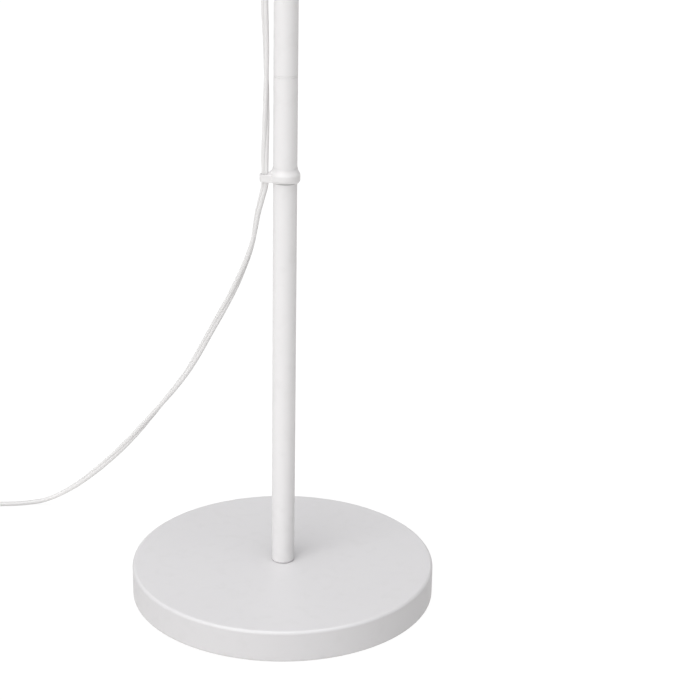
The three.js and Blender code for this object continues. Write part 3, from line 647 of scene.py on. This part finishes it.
def metal(name, slot, light, dark, shine):
    """Bare metal with fine tool marks round it and duller, handled patches."""
    made = Finish(name, slot, Metallic=1.0, Roughness=shine)
    marks = made.noise(1000, 3, made.stretched(0.12, 0.12, 9))
    dull = made.noise(5, 4).above(0.4, 0.75)
    made.feed(
        Base_Color=made.blend(dull * 0.6 + marks * 0.3, light, dark),
        Roughness=shine - 0.05 + dull * 0.16 + marks * 0.08,
    )
    made.relief(marks, 0.02, 0.5)
    return made


brass_finish = metal("brass", "brass", (0.80, 0.60, 0.27), (0.55, 0.38, 0.15), 0.28)
steel_finish = metal("zinc_plated_steel", "zinc_steel", (0.66, 0.67, 0.69), (0.42, 0.42, 0.44), 0.34)
for side, node in ((-1, "plug_pin_left"), (1, "plug_pin_right")):
    pin = turned([(0, 0), (2, 0), (2, 19, 1.2), (0, 19)], 32, closed=False)
    pin = moved(pin, (-378 + side * 9.3, -181.3, 7), "X", 90)
    finished("pin_" + ("left" if side < 0 else "right"), pin, brass_finish, "stand", node)

[point / 1000 for point in cord_line]


# ---- Base: felt, closing plate, iron disc and pressed cover ----------------------------------
# The cover is pressed from 1.3 mm steel sheet with a 4.5 mm rounded rim and powder coated. An
# iron disc bolted inside gives the weight, and a felt pad under the plate protects the floor.
def coat(name, light, dark, scuff_height=None):
    """Semi-matt powder coat: orange peel, faint clouds, specks of dust and, where scuff_height is given,
    scuffs low down and a band of painted shade along the foot.
    """
    made = Finish(name, "white_coat", Roughness=0.46, Coat_Weight=0.05, Coat_Roughness=0.35)
    clouds = made.noise(120, 2)
    peel = made.noise(1.7, 2)
    specks = made.noise(2.4, 1).above(0.735, 0.8)
    worn = made.noise(14, 4).above(0.5, 0.72)
    marks = worn * 0.07 + specks * 0.08
    if scuff_height:
        low = 1 - made.part(2).above(0.0, scuff_height / 1000)
        # Painted shade: the lowest 2.6 mm of the wall is made darker all round, darkest below 1.4 mm, as a
        # contact shadow at the floor.
        painted_foot_shade = 1 - made.part(2).above(0.0014, 0.0026)
        marks = marks + low * made.noise(6, 5).above(0.42, 0.7) * 0.3 + painted_foot_shade * 0.55
    made.feed(
        Base_Color=made.blend(marks, made.blend(clouds, light, dark), (0.50, 0.49, 0.475)),
        Roughness=0.42 + worn * 0.08 + peel * 0.05,
    )
    made.relief(peel * 0.75 + made.noise(0.6, 2) * 0.25, 0.014, 0.7)
    return made


# Two copies of one white powder coat: the base cover's copy is darker than the tubes' copy, painted shade
# on the base and painted light on the tubes.
coat_finish = coat("white_powder_coat", (0.795, 0.784, 0.786), (0.78, 0.77, 0.773))
base_coat_shaded_copy = coat("white_powder_coat_base_shaded_copy", (0.66, 0.65, 0.66), (0.645, 0.636, 0.645), 7)

felt_finish = Finish("grey_felt", "felt", Roughness=0.95, Sheen_Weight=0.4, Sheen_Roughness=0.6)
fibre = felt_finish.noise(0.35, 5, felt_finish.stretched(1, 2.4, 1))
tuft = felt_finish.noise(4, 4)
pile = fibre * 0.7 + tuft * 0.3
felt_finish.feed(Base_Color=felt_finish.blend(pile, (0.19, 0.19, 0.185), (0.36, 0.36, 0.35)))
felt_finish.relief(fibre * 0.7 + tuft * 0.3, 0.5)
felt = turned([(0, 0), (141, 0, 0.6), (141, 2.7, 0.6), (0, 2.7)], 128, closed=False)
finished("felt_disc", felt, felt_finish, "stand", "felt_pad")

black_finish = Finish("black_moulding", "black_plastic", Roughness=0.5)
grit = black_finish.noise(0.8, 3)
bloom = black_finish.noise(22, 4).above(0.45, 0.8)
black_finish.feed(
    Base_Color=black_finish.blend(bloom * 0.5 + grit * 0.1, (0.018, 0.018, 0.019), (0.05, 0.05, 0.052)),
    Roughness=0.44 + bloom * 0.14 + grit * 0.08,
)
black_finish.relief(grit, 0.04, 0.6)
closing = turned([
    (16, 3, 0.3), (146, 3), (147.8, 4), (147.8, 5), (146, 5), (146, 16.1), (143, 16.1), (143, 5),
    (16, 5, 0.3),
], 128)
finished("closing_plate", closing, black_finish, "stand", "base_plate")

iron_finish = Finish("cast_iron", "cast_iron", Metallic=0.7, Roughness=0.7)
sand = iron_finish.noise(1.1, 4)
rust = iron_finish.noise(18, 5).above(0.56, 0.8)
raw_iron = iron_finish.blend(sand, (0.07, 0.07, 0.075), (0.13, 0.13, 0.135))
iron_finish.feed(
    Base_Color=iron_finish.blend(rust, raw_iron, (0.16, 0.07, 0.03)),
    Roughness=0.6 + sand * 0.15 + rust * 0.2,
)
iron_finish.relief(sand, 0.4)


def coated_node(finish, *nodes):
    """Hidden pieces keep their CAD shape and take a finish."""
    for node in nodes:
        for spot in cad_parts[node].material_slots:
            spot.material = finish.material


coated_node(iron_finish, "base_weight")
coated_node(steel_finish, "centre_bolt", "bolt_washer", "foot_insert")
coated_node(black_finish, "switch_block")

cover = turned([
    (148.7, 1, 0.3), (150, 1, 0.7), (150, 32, 3.2), (5.3, 32, 0.15), (5.3, 30.7), (148.7, 30.7, 3.2),
], 160)
finished("pressed_cover", cover, base_coat_shaded_copy, "stand", "base_cover")


# ---- Pole: three steel tubes and the rings between them --------------------------------------
# Tubes of 22.5 mm, 1.25 mm wall, screwed together over threaded couplers whose thin rims show
# as a ring at each joint. The lowest tube is rolled in at its foot, where it meets the base.
lowest = turned([
    (8.6, 32.3), (11.25, 32.3, 1.5), (11.25, 523.03, 0.12), (10, 523.03), (10, 34), (8.6, 34),
], 72)
finished("lower_pole", lowest, coat_finish, "stand", "lower_tube")
middle = turned([(10, 524.97), (11.25, 524.97, 0.12), (11.25, 1015.43, 0.12), (10, 1015.43)], 72)
finished("middle_pole", middle, coat_finish, "stand", "middle_tube")
upper = turned([(10, 1017.37), (11.25, 1017.37, 0.12), (11.25, 1507.7, 0.25), (10, 1507.7)], 72)
upper = cut(upper, bar(4, (-20, 0, 1440), (0, 0, 1440), 32))
finished("upper_pole", upper, coat_finish, "stand", "upper_tube")


def threaded_coupler(reach, slim=0):
    """A short threaded sleeve with a rim at its middle."""
    half = [(11.2, 0.85, 0.15), (9.55 - slim, 0.85)]
    for turn in range(int((reach - 4) / 2.4)):
        z = 2.2 + 2.4 * turn
        half += [(9.7 - slim, z), (9.7 - slim, z + 0.7), (9.2 - slim, z + 1.2), (9.2 - slim, z + 1.8)]
    half += [(9.2 - slim, reach + 0.8, 0.4), (4.6, reach + 0.8)]
    return turned([(r, -z, *rest) for r, z, *rest in reversed(half)] + half, 64)


for node, height in (("coupler_lower", 524), ("coupler_upper", 1016.4)):
    coupler = moved(threaded_coupler(28), (0, 0, height))
    finished("rim_" + node, coupler, coat_finish, "stand", node)


# ---- Cord clips: one on each tube ------------------------------------------------------------
# Moulded white rings that grip the tube and slide on it, each lined with a thin grey sleeve whose edge
# below the ring is painted shadow, a dark band where the ring's shade falls on the tube.
# A ring has a cone-shaped top, a lower edge that rises a little in front and, on its left, an
# open hook with a sloping web that holds the flex.
def arc_points(x, y, radius, start, end, steps):
    """Corners on a round, in degrees, for an outline seen from above."""
    turns = [math.radians(start + (end - start) * i / steps) for i in range(steps + 1)]
    return [(x + radius * math.cos(turn), y + radius * math.sin(turn)) for turn in turns]


def slab(outline, low, high):
    """A flat outline pushed up from low to high."""
    shape = bmesh.new()
    shape.faces.new([shape.verts.new((x, y, low)) for x, y in outline])
    lifted = bmesh.ops.extrude_face_region(shape, geom=shape.faces[:])["geom"]
    tops = [g for g in lifted if isinstance(g, bmesh.types.BMVert)]
    bmesh.ops.translate(shape, vec=(0, 0, high - low), verts=tops)
    bmesh.ops.recalc_face_normals(shape, faces=shape.faces)
    return shape


CLIP_BELT = 14.1
LIP_RISE = 2.2
painted_shadow_lining_finish = plastic("grey_lining_painted_shadow", (0.42, 0.415, 0.415), (0.38, 0.375, 0.375), 0.6)


def cord_clip():
    ring = turned([
        (11.45, -6.3), (12.6, -6.3, 0.2), (14.1, -3.7, 0.5), (14.1, 2.3, 0.9), (12.1, 5.9, 1.2),
        (11.6, 8.4), (11.45, 8.4),
    ], 80)
    for corner in ring.verts:
        if corner.co.z < -2:
            front = max(0, -corner.co.y / CLIP_BELT)
            corner.co.z += LIP_RISE * front**1.5 * min(1, (-2 - corner.co.z) / 3)
    hook = slab(
        arc_points(-18.8, 0, 5.0, 128, 262, 22)
        + [(-9.2, -8.3), (-10.4, -0.6)]
        + arc_points(-18.8, 0, 3.65, 330, 128, 30),
        -5, 1.8,
    )
    web = bmesh.new()
    side = [(-10.5, -5), (-10.5, 6.5), (-12.0, 6.5), (-17.2, 1.6), (-17.2, -5)]
    web.faces.new([web.verts.new((x, -2.6, z)) for x, z in side])
    lifted = bmesh.ops.extrude_face_region(web, geom=web.faces[:])["geom"]
    far_side = [g for g in lifted if isinstance(g, bmesh.types.BMVert)]
    bmesh.ops.translate(web, vec=(0, 2.6, 0), verts=far_side)
    bmesh.ops.recalc_face_normals(web, faces=web.faces)
    clip = fused(fused(ring, hook), web)
    clip = cut(clip, bar(11.5, (0, 0, -20), (0, 0, 20), 80))
    return cut(clip, bar(3.65, (-18.8, 0, -20), (-18.8, 0, 20), 60))


for node, body, height in (
    ("cord_clip_lower", "clip_lower", 429),
    ("cord_clip_middle", "clip_middle", 921.4),
    ("cord_clip_upper", "clip_upper", 1305.472),
):
    clip = finished("moulded_" + node, moved(cord_clip(), (0, 0, height)), plastic_finish, body, node)
    eased(clip, 0.32)
    # Painted shadow: the grey sleeve shows below the ring's raised front edge as a dark line on the tube.
    lining = turned([(11.28, -5.9), (11.48, -5.9, 0.08), (11.48, 5), (11.28, 5)], 80)
    finished("shadow_lining_of_" + node, moved(lining, (0, 0, height)), painted_shadow_lining_finish, body)


# ---- Cord outlet: where the flex leaves the pole ---------------------------------------------
# A moulded elbow plugged into a hole in the upper tube, with its mouth down. The ribbed sleeve
# below it keeps the flex from kinking.
elbow = turned([(0, 1432), (5.9, 1432, 0.5), (5.9, 1449, 5.2), (0, 1449)], 64, closed=False)
elbow = fused(moved(elbow, (-18.8, 0, 0)), bar(5.9, (-18.8, 0, 1440), (-9, 0, 1440), 64))
elbow = cut(elbow, bar(11.55, (0, 0, 1420), (0, 0, 1460), 96))
elbow = fused(elbow, bar(3.7, (-18.8, 0, 1440), (-7.6, 0, 1440), 40))
elbow = cut(elbow, bar(3.4, (-18.8, 0, 1420), (-18.8, 0, 1441), 40))
elbow = finished("outlet_elbow", elbow, plastic_finish, "stand", "cord_outlet")
eased(elbow, 0.35)
outlet_relief = moved(relief_sleeve(), (-18.8, 0, 1431.7))
finished("sleeve_below_outlet", outlet_relief, sleeve_finish, "stand", "outlet_sleeve")


# ---- Swivel: a black bush in the pole, a steel spigot in the arc -----------------------------
# The bush is pressed into the pole's top and its flange keeps the tubes apart. The spigot turns
# in it and is pinned in the arc's foot.
bush = turned([
    (6.3, 1469.7), (9.7, 1469.7, 0.4), (9.7, 1508), (11.25, 1508, 0.3), (11.25, 1510, 0.3), (6.3, 1510),
], 72)
finished("swivel_sleeve", bush, black_finish, "stand", "swivel_bush")
coated_node(steel_finish, "swivel_spigot")


# ---- Arc: two bent tubes ---------------------------------------------------------------------
# The same 22.5 mm tube bent on a 330 mm radius, in two lengths that meet over a coupler just
# before the top. The far tube ends in a short straight stretch.
ARC_FOOT = 1510.3
ARC_START = 1544.3
ARC_BEND = 330
JOINT_AT = 82
END_AT = 160
HALF_RIM = math.degrees(1.1 / ARC_BEND)


def along_arc(degrees, beyond=0):
    """The place on the arc's middle line, and the turn that lays upright things along it."""
    turn = math.radians(degrees)
    point = Vector((ARC_BEND * (1 - math.cos(turn)), 0, ARC_START + ARC_BEND * math.sin(turn)))
    point += beyond * Vector((math.sin(turn), 0, math.cos(turn)))
    return Matrix.Translation(point) @ Matrix.Rotation(turn, 4, "Y")


def bent_tube(name, start, end, lead, reach, steps, node):
    shape = bmesh.new()
    bmesh.ops.create_circle(shape, cap_ends=False, radius=11.25, segments=72)
    bmesh.ops.transform(shape, matrix=along_arc(start, -lead), verts=shape.verts)
    edge = shape.edges[:]
    heading = along_arc(start).to_3x3() @ Vector((0, 0, 1))
    if lead:
        drawn = bmesh.ops.extrude_edge_only(shape, edges=edge)["geom"]
        ring = [g for g in drawn if isinstance(g, bmesh.types.BMVert)]
        bmesh.ops.translate(shape, vec=heading * lead, verts=ring)
        edge = [g for g in drawn if isinstance(g, bmesh.types.BMEdge)]
        edge = [e for e in edge if all(v in ring for v in e.verts)]
    ring = list({v for e in edge for v in e.verts})
    drawn = bmesh.ops.spin(
        shape, geom=ring + edge, cent=(ARC_BEND, 0, ARC_START), axis=(0, 1, 0),
        angle=math.radians(end - start), steps=steps,
    )["geom_last"]
    if reach:
        edge = [g for g in drawn if isinstance(g, bmesh.types.BMEdge)]
        drawn = bmesh.ops.extrude_edge_only(shape, edges=edge)["geom"]
        ring = [g for g in drawn if isinstance(g, bmesh.types.BMVert)]
        heading = along_arc(end).to_3x3() @ Vector((0, 0, 1))
        bmesh.ops.translate(shape, vec=heading * reach, verts=ring)
    bmesh.ops.remove_doubles(shape, verts=shape.verts, dist=1e-4)
    bmesh.ops.recalc_face_normals(shape, faces=shape.faces)
    piece = finished(name, shape, coat_finish, "arc", node)
    wall = piece.modifiers.new("wall", "SOLIDIFY")
    wall.thickness = 0.00125
    wall.offset = -1
    wall.use_even_offset = True
    piece.modifiers.move(len(piece.modifiers) - 1, 0)
    return piece


bent_tube("near_arc_tube", 0, JOINT_AT - HALF_RIM, ARC_START - ARC_FOOT, 0, 56, "arc_tube_rear")
bent_tube("far_arc_tube", JOINT_AT + HALF_RIM, END_AT, 0, 30, 54, "arc_tube_front")
arc_rim = threaded_coupler(16, 1.4)
bmesh.ops.transform(arc_rim, matrix=along_arc(JOINT_AT), verts=arc_rim.verts)
finished("rim_arc_coupler", arc_rim, coat_finish, "arc", "arc_coupler")


# ---- Tilting joint: a fork on the arc, a stem on the lampholder, a clamp screw ---------------
# The fork and the stem are die-cast and coated like the tubes. The screw has a moulded black
# knob with six finger hollows and is held by a plated hexagon nut on the far side.
fork = fused(turned([(0, -22), (9.6, -22, 0.6), (9.6, 0.5), (0, 0.5)], 64, closed=False), turned(
    [(0, 0.3), (11.25, 0.3, 0.3), (11.25, 2.3, 0.9), (0, 2.3)], 72, closed=False))
fork = fused(fork, bar(10.4, (0, 0, 2.0), (0, 0, 5.4), 72, 8.2))
fork = fused(fork, block((-7.5, -7.3, 1), (7.5, 7.3, 17)))
fork = fused(fork, bar(7.5, (0, -7.3, 17), (0, 7.3, 17), 64))
fork = cut(fork, block((-12, -4.3, 5.5), (12, 4.3, 30)))
fork = cut(fork, bar(2.8, (0, -20, 17), (0, 20, 17), 32))
fork = cut(fork, bar(3.4, (0, 0, -30), (0, 0, 8), 32))
bmesh.ops.transform(fork, matrix=along_arc(END_AT, 30), verts=fork.verts)
eased(finished("arc_end_fork", fork, coat_finish, "arc", "arc_fork"), 0.45)

PIVOT = along_arc(END_AT, 47).translation
hexagon = bmesh.new()
bmesh.ops.create_cone(hexagon, cap_ends=True, segments=6, radius1=5.2, radius2=5.2, depth=4)
nut = cut(moved(hexagon, (0, 9.6, 0), "X", 90), bar(2.8, (0, -20, 0), (0, 40, 0), 32))
eased(finished("hexagon_nut", moved(nut, PIVOT), steel_finish, "arc", "tilt_nut"), 0.35)

knob = moved(turned([(0, 0), (8, 0, 0.7), (8, 11, 1.6), (0, 11)], 72, closed=False), (0, -7.6, 0), "X", 90)
knob = fused(knob, bar(2.5, (0, -9, 0), (0, 12.8, 0), 32))
for finger in range(6):
    bearing = math.pi * finger / 3
    x, z = 9.3 * math.cos(bearing), 9.3 * math.sin(bearing)
    knob = cut(knob, bar(2.4, (x, -40, z), (x, -10, z), 24))
eased(finished("clamp_knob", moved(knob, PIVOT), black_finish, "clamp_screw", "tilt_screw"), 0.4)


def hung(shape):
    """Lays a shape whose height runs down from the pivot under it."""
    return moved(shape, PIVOT, "Y", 180)


stem = fused(bar(7, (0, -4, 0), (0, 4, 0), 64), block((-6.5, -4, 1), (6.5, 4, 11)))
stem = fused(stem, bar(6, (0, 0, 9.5), (0, 0, 26), 64))
stem = cut(stem, bar(2.8, (0, -20, 0), (0, 20, 0), 32))
stem = cut(stem, bar(2.6, (0, 0, 12), (0, 0, 30), 32))
eased(finished("holder_stem", hung(stem), coat_finish, "head", "lamp_stem"), 0.5)


# ---- Lampholder: cap, body, shade ring and the parts inside ----------------------------------
# Moulded white, with a domed cap screwed on the stem. The ring below the shade's crown clamps
# the shade against the body's shoulder. A brass thread and contact sit on a moulded floor.
cap = turned([
    (6.3, 17), (9, 17, 0.5), (10.4, 20, 0.6), (20, 20.2, 7.4), (20, 43.9, 0.3), (18.4, 43.9),
    (18.4, 24), (6.3, 21.6),
], 72)
finished("holder_dome", hung(cap), plastic_finish, "head", "holder_cap")
body = turned([
    (15, 44.3), (20, 44.3, 0.3), (20, 52.7, 0.4), (17, 52.7), (17, 84, 0.5), (15, 84, 0.3),
], 72)
finished("holder_body", hung(body), plastic_finish, "head", "holder_shell")
clamp = turned([(17.3, 54.5), (22, 54.5, 0.5), (22, 57.2, 0.6), (20, 62.2, 0.6), (17.3, 62.2)], 72)
for grip in range(24):
    bearing = 2 * math.pi * grip / 24
    x, y = 23.1 * math.cos(bearing), 23.1 * math.sin(bearing)
    clamp = cut(clamp, bar(1.5, (x, y, 50), (x, y, 70), 12))
finished("shade_clamp_ring", hung(clamp), plastic_finish, "head", "shade_ring")
coated_node(brass_finish, "screw_shell", "centre_contact")
coated_node(plastic_finish, "holder_floor")


# ---- Bulb: opal glass globe with a brass screw cap -------------------------------------------
# A 95 mm globe blown from white opal glass, cemented into its cap. The cap's thread is rolled
# from thin brass and its tip is soldered.
threads = [(13.2, 85), (13.2, 83.4, 0.3)]
for ridge in range(6):
    z = 80.5 - 3.4 * ridge
    threads += [(12.6, z + 1.7), (13.2, z + 0.4, 0.25), (13.2, z - 0.4, 0.25)]
threads += [(12.4, 61.2), (11.2, 58, 0.4), (4, 53.6, 0.5), (0, 53.4)]
bulb_foot = turned([(0, 85)] + threads, 64, closed=False)
finished("bulb_screw_cap", hung(bulb_foot), brass_finish, "head", "bulb_cap")

opal_finish = Finish("opal_glass", "opal_glass", Roughness=0.22, Coat_Weight=0.3, Coat_Roughness=0.08)
opal_finish.shader.inputs["Subsurface Weight"].default_value = 0.35
opal_finish.shader.inputs["Subsurface Radius"].default_value = (0.012, 0.011, 0.01)
milk = opal_finish.noise(60, 2)
prints = opal_finish.noise(16, 4).above(0.55, 0.85)
opal_finish.feed(
    Base_Color=opal_finish.blend(milk, (0.88, 0.87, 0.845), (0.84, 0.828, 0.80)),
    Roughness=0.2 + prints * 0.14,
)
opal_finish.relief(opal_finish.noise(22, 1), 0.12, 0.4)
globe_middle = 84 + 12 + 47.5
neck_turn = math.acos(13 / 47.5)
rounds = [-neck_turn + (math.pi / 2 + neck_turn) * i / 28 for i in range(29)]
outside = [(13, 85.3)] + [(47.5 * math.cos(t), globe_middle + 47.5 * math.sin(t)) for t in rounds]
outside[-1] = (0, globe_middle + 47.5)
inside = [(12, 85.3)] + [(46.5 * math.cos(t), globe_middle + 46.5 * math.sin(t)) for t in rounds]
inside[-1] = (0, globe_middle + 46.5)
globe = turned(outside + inside[::-1], 80)
finished("opal_globe", hung(globe), opal_finish, "head", "bulb_globe", sharp=70)


# ---- Shade: a spun steel dome ----------------------------------------------------------------
# Spun from 1.2 mm sheet over a former, with a flat crown that the lampholder clamps and a rim
# turned back on itself. Coated like the tubes outside and inside.
bends = [math.pi / 2 * i / 36 for i in range(37)]
skin = [(24 + 106 * math.sin(t), 53 + 150 * (1 - math.cos(t))) for t in bends]
lining = [(22.8 + 106 * math.sin(t), 54.2 + 148.8 * (1 - math.cos(t))) for t in bends]
skin[-1] = (130, 203, 0.5)
lining[-1] = (128.4, 203, 0.5)
dome = turned([(17.3, 53)] + skin + lining[::-1] + [(17.3, 54.2)], 144)
finished("spun_dome", hung(dome), coat_finish, "head", "shade")

coated_node(flex_finish, "inner_flex_pole", "inner_flex_arc")
